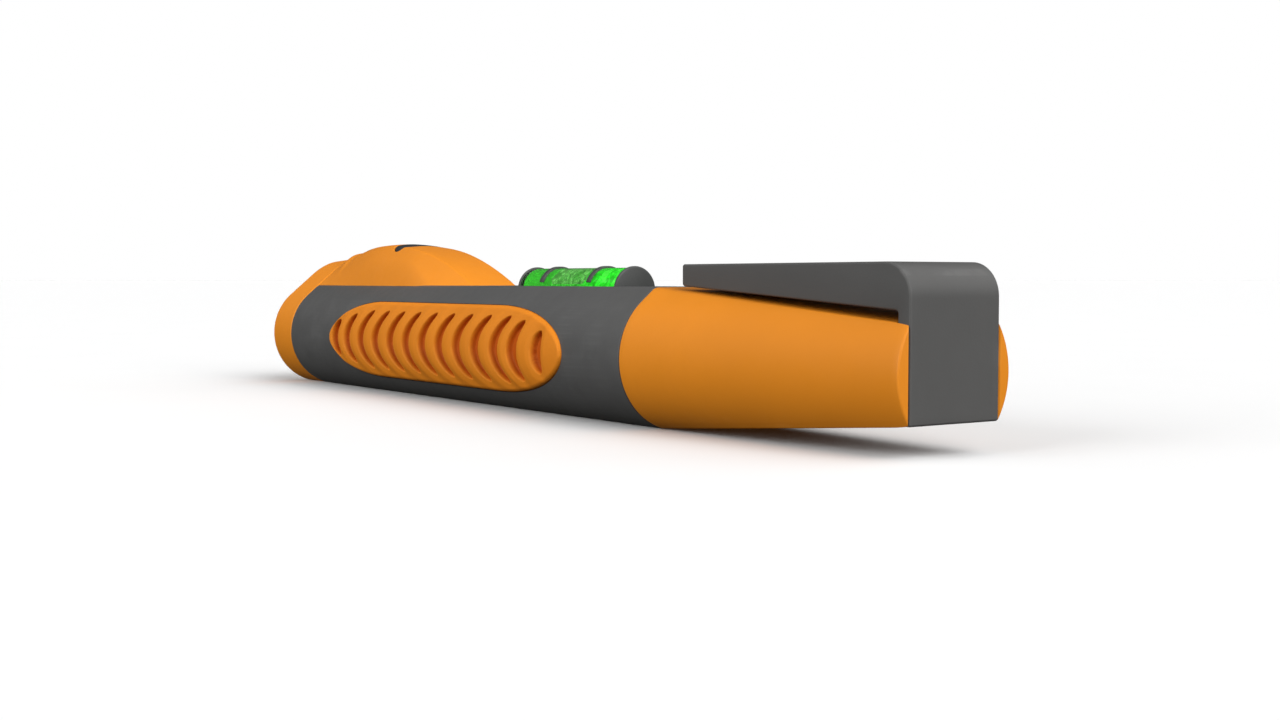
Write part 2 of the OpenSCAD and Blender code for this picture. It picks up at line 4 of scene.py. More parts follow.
import bmesh
import bpy
import numpy as np
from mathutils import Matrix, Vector


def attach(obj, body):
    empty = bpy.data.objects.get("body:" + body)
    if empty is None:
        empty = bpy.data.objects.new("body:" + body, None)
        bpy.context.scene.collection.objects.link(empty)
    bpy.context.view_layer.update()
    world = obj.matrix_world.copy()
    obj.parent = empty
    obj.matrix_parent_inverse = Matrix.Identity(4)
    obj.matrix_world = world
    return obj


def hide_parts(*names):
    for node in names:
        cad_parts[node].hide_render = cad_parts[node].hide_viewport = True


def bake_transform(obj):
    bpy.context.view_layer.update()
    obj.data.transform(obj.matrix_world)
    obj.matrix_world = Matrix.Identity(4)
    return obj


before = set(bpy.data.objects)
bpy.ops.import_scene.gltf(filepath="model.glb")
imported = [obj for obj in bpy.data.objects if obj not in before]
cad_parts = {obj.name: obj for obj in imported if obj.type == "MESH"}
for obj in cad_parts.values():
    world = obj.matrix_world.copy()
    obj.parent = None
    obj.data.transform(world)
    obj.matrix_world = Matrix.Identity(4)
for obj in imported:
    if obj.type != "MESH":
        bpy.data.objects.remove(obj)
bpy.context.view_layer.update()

scene = bpy.context.scene

# ---------------------------------------------------------------- sizes, in millimetres
MM = 0.001
MID = 8.5            # height of the body's axis
TOP = 17.0           # height of the sleeve's flat top
SIDE_C = 3.7         # centre of a round side, from the middle
SIDE_R = 8.889       # radius of a round side
ROOF = math.radians(40.5)    # slope of the shoulder between a round side and the flat top
EDGE_Y = 7.43        # half width of the flat top
NOSE_X, FRONT_X, REAR_X, TAIL_X, END_X = -76.9, -68.4, 34.6, 76.66, 76.7    # ends of nose, sleeve, tail, clip
CREST_X, CREST_Z, BACK_R = -48.4, 23.66, 72.0    # the hump's crest, and the radius of its long rear slope
NOSE_TOP, FRONT_TOP, HUMP_END = 21.15, 21.65, -18.16
WALL = 1.8           # the sleeve's wall
BUTTON_X, BUTTON_L, BUTTON_W = -44.3, 5.2, 8.0
PAD_X = BUTTON_X + 0.5                # the pad's middle, behind that of the button's stem
LIGHT_X, LIGHT_L, LIGHT_W = -58.6, 2.6, 5.0
VIAL_X, VIAL_L, VIAL_Z, VIAL_R, CAP_R, CAP_T = -5.8, 25.4, 16.46, 3.0, 3.2, 0.6
RING_MID, RING_PITCH = 6.6, 12.15     # the two marker rings: midway between them, and their spacing
GRIP_X, GRIP_Z, GRIP_L, GRIP_H, GRIP_FRONT, GRIP_REAR = -14.7, 8.6, 72.8, 11.7, 16.0, 20.0
CLIP_W, CLIP_Z, CLIP_TIP = 12.5, 19.7, 38.6      # the clip's width, its arm's top and the arm's free end
PLATE_X, MOUTH_W = 74.86, 12.6        # the clip's plate: its inner face and the width of its slot
TAPER, TAPER_IN, TAPER_UP = 42.06, 4.86, 3.45    # tail cap: length, and how far its sides and faces close in
SEAM_GROOVE = 0.28   # depth of the crease between nose and hump
SUNK, SUNK_RIM = 0.15, 0.25           # how far the hump's surface and rim reach below the sleeve's top
GROOVES, GROOVE_STEP, GROOVE_DEEP = 13, 5.4, 0.95    # the grip's crescents: number, spacing and depth
GROOVE_THIRD = 10.85                  # from the grip's front tip to the third, the first at full height
GRIP_PROUD, GRIP_THICK = 0.399, 0.97  # how far a grip stands out of the sleeve, and how deep it is sunk
SCREW_X, SCREW_Y = -64.4, 3.5         # screw wells in the sole


# ---------------------------------------------------------------- mesh kit
def smin(a, b, k):
    """The smaller of a and b, rounded over where they meet."""
    h = np.maximum(k - np.abs(a - b), 0) / k
    return np.minimum(a, b) - h * h * k / 4


def step(e0, e1, x):
    """Smooth step from 0 at e0 to 1 at e1."""
    t = np.clip((x - e0) / (e1 - e0), 0, 1)
    return t * t * (3 - 2 * t)


def crowd(n, ends=1.0):
    """n numbers from 0 to 1 that crowd towards both ends."""
    t = np.linspace(0, 1, n)
    return (1 - ends) * t + ends * (1 - np.cos(math.pi * t)) / 2


def crowd_end(n, power=2.0):
    """n numbers from 0 to 1 that crowd towards 1."""
    return 1 - (1 - np.linspace(0, 1, n)) ** power


def outward(me):
    """Turns a closed mesh's faces outwards."""
    bm = bmesh.new()
    bm.from_mesh(me)
    bmesh.ops.recalc_face_normals(bm, faces=bm.faces)
    left = set(bm.faces)
    while left:
        shell, front = [], [left.pop()]
        while front:
            f = front.pop()
            shell.append(f)
            near = {g for e in f.edges for g in e.link_faces} & left
            left -= near
            front += near
        volume = 0.0
        for f in shell:
            a, *rest = [v.co for v in f.verts]
            volume += sum(a.dot(b.cross(c)) for b, c in zip(rest, rest[1:]))
        if volume < 0:
            for f in shell:
                f.normal_flip()
    bm.to_mesh(me)
    bm.free()


def new_mesh(name, verts, faces, merge=0.0):
    me = bpy.data.meshes.new(name)
    me.from_pydata((np.asarray(verts, float) * MM).tolist(), [], faces)
    if merge:
        bm = bmesh.new()
        bm.from_mesh(me)
        bmesh.ops.remove_doubles(bm, verts=bm.verts, dist=merge * MM)
        bm.to_mesh(me)
        bm.free()
    outward(me)
    return me


def new_object(name, me):
    ob = bpy.data.objects.new(name, me)
    scene.collection.objects.link(ob)
    return ob


def parts(*shells):
    """Several (verts, faces) shells as one."""
    verts, faces, n = [], [], 0
    for v, f in shells:
        v = np.asarray(v, float)
        verts.append(v)
        faces += [tuple(i + n for i in q) for q in f]
        n += len(v)
    return np.concatenate(verts), faces


def loft(loops, closed=False, caps=True):
    """Quads between equal closed loops of points, with a face at each end."""
    n, m = len(loops[0]), len(loops)
    faces = []
    for i in range(m if closed else m - 1):
        a, b = i * n, (i + 1) % m * n
        faces += [(a + k, a + (k + 1) % n, b + (k + 1) % n, b + k) for k in range(n)]
    if caps and not closed:
        faces += [tuple(range(n - 1, -1, -1)), tuple((m - 1) * n + k for k in range(n))]
    return np.concatenate(loops), faces


def lathe(profile, x0, y, z, n=96, closed=False):
    """Turns (along, radius) points about a line along X; a closed profile gives a tube."""
    t = np.linspace(0, 2 * math.pi, n, endpoint=False)
    loops = []
    for along, r in profile:
        loops.append(np.stack([np.full(n, x0 + along), y + r * np.cos(t), z + r * np.sin(t)], 1))
    return loft(loops, closed)


def block(low, high):
    (a, b, c), (d, e, f) = low, high
    v = [(x, y, z) for x in (a, d) for y in (b, e) for z in (c, f)]
    return v, [(0, 1, 3, 2), (4, 6, 7, 5), (0, 4, 5, 1), (2, 3, 7, 6), (0, 2, 6, 4), (1, 5, 7, 3)]


def boolean(ob, shell, how="DIFFERENCE"):
    """Cuts a shell of verts and faces from an object, or joins it on."""
    tool = new_object("tool", new_mesh("tool", *shell))
    mod = ob.modifiers.new("cut", "BOOLEAN")
    mod.operation, mod.solver, mod.object = how, "MANIFOLD", tool
    graph = bpy.context.evaluated_depsgraph_get()
    me = bpy.data.meshes.new_from_object(ob.evaluated_get(graph))
    ob.modifiers.clear()
    old, ob.data = ob.data, me
    name = old.name
    bpy.data.meshes.remove(old)
    me.name = name
    bpy.data.objects.remove(tool)


def piece(ob, body, finish, *nodes, slot=None, sharp=38):
    """Makes an object a visible piece: smooth but for sharp edges, on its body, in its CAD nodes' place."""
    me = ob.data
    me.materials.clear()
    me.materials.append(finish)
    for p in me.polygons:
        p.use_smooth = True
    me.set_sharp_from_angle(angle=math.radians(sharp))
    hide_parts(*nodes)
    if body:
        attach(ob, body)
    return ob


# ---------------------------------------------------------------- the body's section
def reach(co, si, c, r, sy):
    """Distance from the axis to a round side, to its sloping shoulder, or to the flat between the sides."""
    a = (co / sy) ** 2 + si ** 2
    b = -2 * co * c / sy ** 2
    q = (c / sy) ** 2 - r * r
    arc = (-b + np.sqrt(np.maximum(b * b - 4 * a * q, 0))) / (2 * a)
    arc = np.where(arc * co < c, r / np.maximum(np.abs(si), 1e-6), arc)
    nx, nz = math.sin(ROOF) / sy, math.cos(ROOF)
    line = (r + c * nx) / np.maximum(co * nx + si * nz, 1e-6)
    above = si * (c + sy * r * math.sin(ROOF)) > co * r * nz
    return np.where(above, line, arc)


def ring(x, c=SIDE_C, sy=1.0, top=TOP, low=0.0, inset=0.0, soft=0.42, keel=0.12):
    """Closed outline of the body at x, moved in by inset."""
    r, up, down = SIDE_R - inset, top - MID - inset, MID - low - inset
    nx, nz = math.sin(ROOF) / sy, math.cos(ROOF)
    y_up = (r + c * nx - up * nz) / nx if up > r * nz else c + sy * math.sqrt(r * r - up * up)
    y_down = c + sy * math.sqrt(r * r - down * down)
    a, b = math.atan2(up, y_up), math.atan2(-down, y_down)
    phi = np.concatenate([
        math.pi / 2 + (a - math.pi / 2) * crowd_end(16, 2.4),
        a + (b - a) * crowd(60)[1:],
        (b + (-math.pi / 2 - b) * (1 - crowd_end(16, 2.4)[::-1]))[1:],
    ])
    co, si = np.cos(phi), np.sin(phi)
    far = 1e3
    t = smin(reach(co, si, c, r, sy), np.where(si > 1e-3, up / np.maximum(si, 1e-3), far), soft)
    t = smin(t, np.where(si < -1e-3, down / np.maximum(-si, 1e-3), far), keel)
    y, z = t * co, MID + t * si
    y[0] = y[-1] = 0
    y = np.concatenate([y, -y[-2:0:-1]])
    z = np.concatenate([z, z[-2:0:-1]])
    return np.stack([np.full(len(y), float(x)), y, z], 1)


def shrink(loop, amount):
    """Moves a loop's points inwards in its own plane, across X."""
    d = np.roll(loop, -1, 0) - np.roll(loop, 1, 0)
    n = np.stack([np.zeros(len(d)), d[:, 2], -d[:, 1]], 1)
    n /= np.maximum(np.linalg.norm(n, axis=1), 1e-9)[:, None]
    if (n[:, 1] * loop[:, 1]).sum() > 0:
        n = -n
    return loop + n * np.broadcast_to(amount, (len(loop),))[:, None]


def rounded_end(make, x, r, side, steps=5):
    """Loops that round the rim at x, where the solid lies on the given side of it."""
    out = []
    for t in np.linspace(0, math.pi / 2, steps):
        out.append(shrink(make(x + side * r * (1 - math.cos(t))), r * (1 - math.sin(t))))
    return out


# ---------------------------------------------------------------- nose and hump
def crown(x):
    """Height of the hump's top line."""
    nose = NOSE_TOP + (FRONT_TOP - NOSE_TOP) * (x - NOSE_X) / (FRONT_X - NOSE_X)
    front = CREST_Z - (CREST_Z - FRONT_TOP) * ((x - CREST_X) / (CREST_X - FRONT_X)) ** 2
    rear = CREST_Z - BACK_R + np.sqrt(np.maximum(BACK_R ** 2 - (x - CREST_X) ** 2, 0))
    return np.where(x < FRONT_X, nose, np.where(x < CREST_X, front, rear))


def hump(x, y, low=TOP):
    """Height of the nose's and the hump's upper surface, which stops at the height low."""
    x, y = np.broadcast_arrays(np.asarray(x, float), np.asarray(y, float))
    t = np.clip((x - FRONT_X) / (CREST_X - FRONT_X), 0, 1)
    e = 0.45 * t * (2 - t) + 0.55 * t * t * (3 - 2 * t)
    steep = math.tan(ROOF) + (2.45 - math.tan(ROOF)) * e
    half = 1.6 + 2.0 * e
    slope = 0.55 + 0.4 * e
    soft = np.where(x < CREST_X, 2.2 + (0.9 - 2.2) * e, 0.9 + (0.16 - 0.9) * step(CREST_X, CREST_X + 6, x))
    side = TOP + (EDGE_Y - np.abs(y)) * steep
    round_top = (0.3 + 0.7 * e) * (1 - 0.75 * step(CREST_X + 2, CREST_X + 16, x))
    top = crown(x) + round_top * (0.07 - 0.032 * np.minimum(np.abs(y), 5) ** 2)
    upper = top + (half - np.abs(y)) * slope + (1 - step(0, 0.3, t)) * 8
    return np.maximum(smin(smin(side, upper, 1.6), top, soft), low)


def nose_piece():
    v = crowd(61)
    v = np.concatenate([-1 + v[:-1] * 0.62, -0.38 + 0.76 * np.linspace(0, 1, 41), 0.38 + 0.62 * v[1:]])
    y = EDGE_Y * v[::-1]
    up = len(y)
    corner = math.atan2(TOP - MID, EDGE_Y)
    phi = -np.pi - corner + (corner + np.pi / 2) * crowd(84)
    phi = np.concatenate([phi, -np.pi - phi[-2::-1]])[1:-1]

    def nose_ring(x):
        co, si = np.abs(np.cos(phi)), np.sin(phi)
        t = reach(co, si, SIDE_C, SIDE_R, 1.0)
        t = smin(t, np.where(si < -1e-3, MID / np.maximum(-si, 1e-3), 1e3), 0.12)
        ly, lz = t * np.cos(phi), MID + t * si
        ys, zs = np.concatenate([y, ly]), np.concatenate([hump(x, y), lz])
        return np.stack([np.full(len(ys), float(x)), ys, zs], 1)

    groove = np.concatenate([step(2.9, 4.8, np.abs(y)), np.ones(len(phi))]) * SEAM_GROOVE
    loops = rounded_end(nose_ring, NOSE_X, 0.7, 1, 7)
    loops += [nose_ring(x) for x in np.linspace(NOSE_X + 0.9, FRONT_X - 0.4, 14)]
    for dx, s in ((0.26, 0.04), (0.16, 0.25), (0.07, 0.6), (0, 1)):
        loops.append(shrink(nose_ring(FRONT_X - dx), groove * s))
    n = len(loops[0])
    verts, faces = loft(loops, caps=False)
    faces.append(tuple(range(n - 1, -1, -1)))
    last = (len(loops) - 1) * n
    faces.append(tuple([last + k for k in range(up - 1, n)] + [last]))
    rows = []
    run = HUMP_END - FRONT_X - 4
    near, far = np.linspace(0.7, run, 110), run + 4 * crowd_end(16, 1.5)[1:]
    xs = FRONT_X + np.concatenate([[0.08, 0.17, 0.27, 0.38, 0.5], near, far])
    for i, x in enumerate(xs):
        row = np.stack([np.full(up, x), y, hump(x, y, TOP if i < 4 else TOP - SUNK)], 1)
        if i < 4:
            full = np.concatenate([row, [[x, -EDGE_Y, 0], [x, EDGE_Y, 0]]])
            s = (0.6, 0.25, 0.08, 0.0)[i]
            row = shrink(full, np.concatenate([groove[:up] * s, [0, 0]]))[:up]
            row[0, 1:] = EDGE_Y - groove[0] * s, TOP
            row[-1, 1:] = -EDGE_Y + groove[0] * s, TOP
        else:
            row[[0, -1], 2] = TOP - SUNK_RIM
        rows.append(row)
    rows[-1][:, 2] = TOP - SUNK_RIM
    base = len(verts)
    verts = np.concatenate([verts] + rows)
    starts = [last] + [base + i * up for i in range(len(rows))]
    for a, b in zip(starts[:-1], starts[1:]):
        faces += [(a + k, a + k + 1, b + k + 1, b + k) for k in range(up - 1)]
    for a, b in zip(starts[:-2], starts[1:-1]):
        faces.append((a, b, b + up - 1, a + up - 1))
    a, b = starts[-2:]
    faces.append(tuple([a + up - 1, a] + [b + k for k in range(up)]))
    return verts, faces


def stadium(cx, cy, l, w, n=48):
    """Outline in X, Y with round ends, w long across the body and l along it."""
    t = np.linspace(0, 2 * math.pi, n, endpoint=False)
    r = l / 2
    return np.stack([cx + r * np.cos(t), cy + np.sign(np.sin(t)) * (w / 2 - r) + r * np.sin(t)], 1)


def oblong_box(cx, cy, l, w, r=0.3, n=8):
    """Outline in X, Y of a box with rounded corners."""
    pts = []
    for sx, sy, a in ((1, 1, 0), (-1, 1, 90), (-1, -1, 180), (1, -1, 270)):
        for k in np.radians(np.linspace(a, a + 90, n)):
            pts.append((cx + sx * (l / 2 - r) + r * math.cos(k), cy + sy * (w / 2 - r) + r * math.sin(k)))
    return np.array(pts)


def pocket(outline, low, flare=0.16):
    """Cutter for an opening in the hump, with a fine chamfer that follows the surface."""
    mid = outline.mean(0)
    out = outline - mid
    wide = mid + out * (1 + flare / np.linalg.norm(out, axis=1))[:, None]
    wider = mid + out * (1 + 2.2 * flare / np.linalg.norm(out, axis=1))[:, None]
    at = lambda p, z: np.column_stack([p, np.broadcast_to(z, (len(p),))])
    on = lambda p, z: at(p, hump(p[:, 0], p[:, 1]) + z)
    loops = [at(outline, low), on(outline, -flare), on(wide, 0.01), on(wider, flare * 1.4), at(wider, 30)]
    return loft(loops)


def patch(l, w, ends, nx, ny, even=0.5):
    """Grid over a bar with half-ellipse ends: places along and across, and the distance in from its rim."""
    f, r = ends[0] * 0.6, ends[1] * 0.6
    t = np.linspace(0, math.pi / 2, max(nx // 5, 30))
    along = np.concatenate([-l / 2 + f * (1 - np.cos(t)), np.linspace(-l / 2 + f, l / 2 - r, nx)[1:-1],
                            (l / 2 - r * (1 - np.cos(t)))[::-1]])
    k = np.where(along < 0, (along + l / 2) / ends[0], (l / 2 - along) / ends[1])
    bend = np.sqrt(np.maximum(1 - (1 - np.clip(k, 0, 1)) ** 2, 0))
    half = np.maximum(w / 2 * bend, 2e-3)
    slope = np.gradient(half, along)
    across = (2 * crowd(ny, even) - 1)[None, :] * half[:, None]
    along = np.repeat(along[:, None], ny, 1)
    d = (half[:, None] - np.abs(across)) / np.sqrt(1 + slope ** 2)[:, None]
    return along, across, np.maximum(np.minimum(d, np.minimum(along + l / 2, l / 2 - along)), 0)


def rim_drop(d, r):
    """How far a rim of radius r has fallen at the distance d in from its edge."""
    return r - np.sqrt(np.maximum(r * r - (r - np.minimum(d, r)) ** 2, 0))


def slab(front, back):
    """A closed slab between a fine grid and a coarser one with as many rows."""
    a, b, c = front.shape[0], front.shape[1], back.shape[1]
    f = lambda i, j: i * b + j
    g = lambda i, j: a * b + i * c + j
    faces = []
    for i in range(a - 1):
        faces += [(f(i, j), f(i + 1, j), f(i + 1, j + 1), f(i, j + 1)) for j in range(b - 1)]
        faces += [(g(i, j), g(i, j + 1), g(i + 1, j + 1), g(i + 1, j)) for j in range(c - 1)]
        faces.append((f(i, 0), g(i, 0), g(i + 1, 0), f(i + 1, 0)))
        faces.append((f(i, b - 1), f(i + 1, b - 1), g(i + 1, c - 1), g(i, c - 1)))
    for i in (0, a - 1):
        faces.append(tuple([f(i, j) for j in range(b)] + [g(i, j) for j in range(c - 1, -1, -1)]))
    return np.concatenate([front.reshape(-1, 3), back.reshape(-1, 3)]), faces


def hump_pad(x, l, w, end, low, proud, r):
    """A cap that follows the hump's surface, with a rounded rim."""
    y, dx, d = patch(w, l, (end, end), 30, 26)
    z = hump(x + dx, y) + proud - rim_drop(d, r)
    front = np.stack([x + dx, y, z], 2)
    back = front[:, ::25].copy()
    back[:, :, 2] = low
    return slab(front, back)


# ---------------------------------------------------------------- grips
def crescent(x, z, h, w, lean):
    """Distance inside a crescent with blunt tips that bulges towards the nose from x = 0."""
    outer = (x - 0.155 * z * z) / np.sqrt(1 + (0.31 * z) ** 2)
    inner = (w + lean * z * z - x) / np.sqrt(1 + (2 * lean * z) ** 2)
    return smin(smin(outer, inner, 0.5), h / 2 - np.abs(z), 1.3)


def grip_side(x, z, proud, side):
    """Point on a round side at the given height above its surface."""
    r = SIDE_R + proud
    y = SIDE_C + np.sqrt(r * r - (z - MID) ** 2)
    return np.stack([x, side * y, z], -1)


def grip_piece(side):
    nx, ny = ((480, 116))
    dx, dz, d = patch(GRIP_L, GRIP_H, (GRIP_FRONT, GRIP_REAR), nx, ny, 0.45)
    x, z = GRIP_X + dx, GRIP_Z + dz
    cut = np.full(x.shape, -9.0)
    for i in range(GROOVES):
        start = GRIP_X - GRIP_L / 2 + GROOVE_THIRD + GROOVE_STEP * (i - 2)
        h, w, lean = 9.35, 2.45, 0.12
        if i < 2:
            start, h = (start + 0.95, 5.9) if i == 0 else (start + 0.15, 8.0)
        elif i == 11:
            start, h, w, lean = start - 0.6, 8.3, 2.75, 0.085
        elif i == 12:
            start, h, w, lean = start + 0.35, 5.8, 2.7, 0.0
        cut = np.maximum(cut, crescent(x - start, dz, h, w, lean))
    high = GRIP_PROUD - rim_drop(d, 0.5) - 0.2 * step(-1.1, 0.1, cut) - GROOVE_DEEP * step(-0.1, 0.26, cut)
    front = grip_side(x, z, high, side)
    j = np.linspace(0, z.shape[1] - 1, 9).astype(int)
    back = grip_side(x[:, j], z[:, j], -GRIP_THICK, side)
    return slab(front, back)


def grip_hole(side):
    dx, dz, _ = patch(GRIP_L + 0.12, GRIP_H + 0.12, (GRIP_FRONT, GRIP_REAR), 40, 17, 0.0)
    x, z = GRIP_X + dx, GRIP_Z + dz
    return slab(grip_side(x, z, 2.0, side), grip_side(x, z, -1.0, side))


# ---------------------------------------------------------------- sleeve
def bar(r, x0, x1, y, z, n=96):
    return lathe([(0, r), (x1 - x0, r)], x0, y, z, n)


def sleeve_piece():
    inner = lambda x: ring(x, inset=WALL, soft=0.3, keel=0.3)
    loops = rounded_end(ring, FRONT_X + 0.02, 0.17, 1) + rounded_end(ring, REAR_X, 0.2, -1)[::-1]
    loops += [inner(REAR_X), inner(REAR_X - 0.2), inner(FRONT_X + 0.3), inner(FRONT_X + 0.02)]
    t = np.linspace(math.pi, 2 * math.pi, 40)
    y, z = 4.15 * np.cos(t), VIAL_Z - 0.5 + 4.15 * np.sin(t)
    trough = [np.stack([np.full(40, x), y, z], 1) for x in (VIAL_X - 1.2, VIAL_X + VIAL_L + 1.2)]
    ob = new_object("body_sleeve", new_mesh("body_sleeve", *loft(loops, closed=True)))
    boolean(ob, loft(trough), "UNION")
    boolean(ob, bar(VIAL_R + 0.05, VIAL_X - 0.05, VIAL_X + VIAL_L + 0.05, 0, VIAL_Z))
    for x in (VIAL_X, VIAL_X + VIAL_L - CAP_T):
        boolean(ob, bar(CAP_R + 0.05, x - 0.05, x + CAP_T + 0.05, 0, VIAL_Z))
    for side in (-1, 1):
        boolean(ob, grip_hole(side))
        t = np.linspace(0, 2 * math.pi, 48, endpoint=False)
        well = [np.stack([SCREW_X + r * np.cos(t), side * SCREW_Y + r * np.sin(t), np.full(48, z)], 1)
                for z, r in ((-1, 2.2), (-0.01, 2.2), (0.19, 2.0), (1.0, 2.0), (1.0, 1.15), (4, 1.15))]
        boolean(ob, loft(well))
    return ob


# ---------------------------------------------------------------- tail cap
def tail_ring(x, inset=0.0):
    k = (x - REAR_X) / TAPER
    sy = 1 / math.cos(math.atan(TAPER_IN / TAPER))
    rise = TAPER_UP * k
    return ring(x, SIDE_C - TAPER_IN * k, sy, TOP - rise, rise, inset, 0.42 * (1 - 0.7 * k), 0.12)


def tail_piece():
    start = REAR_X + 0.1
    loops = rounded_end(tail_ring, start, 0.2, 1)
    loops += [tail_ring(x) for x in np.linspace(start + 1, TAIL_X - 1, 24)]
    loops += rounded_end(tail_ring, TAIL_X, 0.22, -1)[::-1]
    plug = [ring(x, inset=i, soft=0.3, keel=0.3) for x, i in (
        (27.0, 2.05), (27.06, 1.96), (27.2, 1.88), (29.95, 1.88), (29.95, 2.83), (31.15, 2.83), (31.15, 1.88),
        (start + 0.5, 1.88), (start + 0.5, 3.28), (27.1, 3.28), (27.0, 3.2))]
    ob = new_object("tail_cap", new_mesh("tail_cap", *loft(loops)))
    w = MOUTH_W / 2
    mouth = np.array([(PLATE_X, -w), (TAIL_X - 0.14, -w), (TAIL_X + 0.02, -w - 0.15), (TAIL_X + 1, -w - 0.15),
                      (TAIL_X + 1, w + 0.15), (TAIL_X + 0.02, w + 0.15), (TAIL_X - 0.14, w), (PLATE_X, w)])
    cutter = [np.column_stack([mouth, np.full(len(mouth), z)]) for z in (-1, 18)]
    boolean(ob, loft(cutter))
    tube = new_object("tail_plug", new_mesh("tail_plug", *loft(plug, closed=True)))
    bm = bmesh.new()
    bm.from_mesh(ob.data)
    bm.from_mesh(tube.data)
    bm.to_mesh(ob.data)
    bm.free()
    bpy.data.objects.remove(tube)
    return ob


# ---------------------------------------------------------------- clip
def rounded(points, radii, steps=9, most=1.2):
    """Outline with its corners rounded and its straight runs divided."""
    pts, n = [], len(points)
    for i, (p, r) in enumerate(zip(points, radii)):
        p = np.array(p, float)
        a, b = np.array(points[i - 1]) - p, np.array(points[(i + 1) % n]) - p
        a, b = a / np.linalg.norm(a), b / np.linalg.norm(b)
        half = math.acos(np.clip(a @ b, -1, 1)) / 2
        reach_p = r / math.tan(half)
        centre = p + (a + b) / np.linalg.norm(a + b) * r / math.sin(half)
        s, e = p + a * reach_p - centre, p + b * reach_p - centre
        t0, t1 = math.atan2(s[1], s[0]), math.atan2(e[1], e[0])
        turn = (t1 - t0 + math.pi) % (2 * math.pi) - math.pi
        m = steps * (3 if r > 1 else 1)
        for k in range(m + 1):
            angle = t0 + turn * k / m
            pts.append(centre + r * np.array([math.cos(angle), math.sin(angle)]))
    out = []
    for p, q in zip(pts, pts[1:] + pts[:1]):
        k = max(1, int(np.linalg.norm(q - p) / most))
        out += [p + (q - p) * j / k for j in range(k)]
    return np.array(out)


def clip_piece():
    corners = [(PLATE_X + 0.02, 3.45), (END_X, 3.45), (END_X, CLIP_Z), (CLIP_TIP, CLIP_Z),
               (CLIP_TIP, 17.12), (PLATE_X + 0.02, 14.84)]
    line = rounded(corners, [0.28, 0.28, 3.6, 0.3, 0.36, 0.35], most=0.8)
    d = np.roll(line, -1, 0) - np.roll(line, 1, 0)
    n = np.stack([-d[:, 1], d[:, 0]], 1) / np.linalg.norm(d, axis=1)[:, None]
    loops, r = [], 0.26
    quarter = np.linspace(0, math.pi / 2, 6)
    steps = [(-CLIP_W / 2 + r * (1 - math.cos(t)), r * (1 - math.sin(t))) for t in quarter]
    ys = steps + [(y, 0) for y in np.linspace(-CLIP_W / 2 + r, CLIP_W / 2 - r, 9)[1:-1]]
    ys += [(-y, i) for y, i in steps[::-1]]
    for y, i in ys:
        p = line + n * i
        loops.append(np.column_stack([p[:, 0], np.full(len(p), y), p[:, 1]]))
    return loft(loops)


# ---------------------------------------------------------------- level vial
def arc_bar(x, r0, r1, w, span, e=0.07):
    """A marker ring: a bar with rounded edges that follows the tube over its top."""
    loops = []
    ends = [(0.0, 0.55), (0.006, 0.2), (0.02, 0.0)]
    turns = ends + [(t, 0.0) for t in np.linspace(0.04, 0.96, 60)] + [(1 - t, s) for t, s in ends[::-1]]
    for t, s in turns:
        a = math.radians(90 + span / 2 - span * t)
        hw, h0, h1 = w / 2 - e * s, r0, r1 - e * s
        shape = [(-hw, h0), (hw, h0), (hw, h1 - e), (hw - e * 0.3, h1 - e * 0.3), (hw - e, h1),
                 (-hw + e, h1), (-hw + e * 0.3, h1 - e * 0.3), (-hw, h1 - e)]
        loops.append(np.array([(x + p, q * math.cos(a), VIAL_Z + q * math.sin(a)) for p, q in shape]))
    return loft(loops)


def bubble_piece(l=10.4, low=17.2, r=2.325):
    """The bubble: a long lens with round ends that lies against the top of the tube's bore."""
    half, loops = math.sqrt(r * r - (low - VIAL_Z) ** 2), []
    for u in np.concatenate([-1 + 0.25 * crowd_end(14, 0.6), np.linspace(-0.75, 0.75, 14)[1:-1],
                             1 - 0.25 * crowd_end(14, 0.6)[::-1]]):
        k = max(1 - max(abs(u) - 0.72, 0) ** 2 / 0.28 ** 2, 1e-4) ** 0.5
        y = half * k * np.sin(np.linspace(-math.pi / 2, math.pi / 2, 25))
        roof = VIAL_Z + np.sqrt(r * r - y * y)
        roof = low + (roof - low) * (1 - 0.25 * (1 - k))
        belly = low - 0.25 * k * np.cos(np.linspace(-math.pi / 2, math.pi / 2, 25))
        x, around = np.full(48, RING_MID + u * l / 2), np.concatenate([y, y[-2:0:-1]])
        loops.append(np.stack([x, around, np.concatenate([roof, belly[-2:0:-1]])], 1))
    return loft(loops)


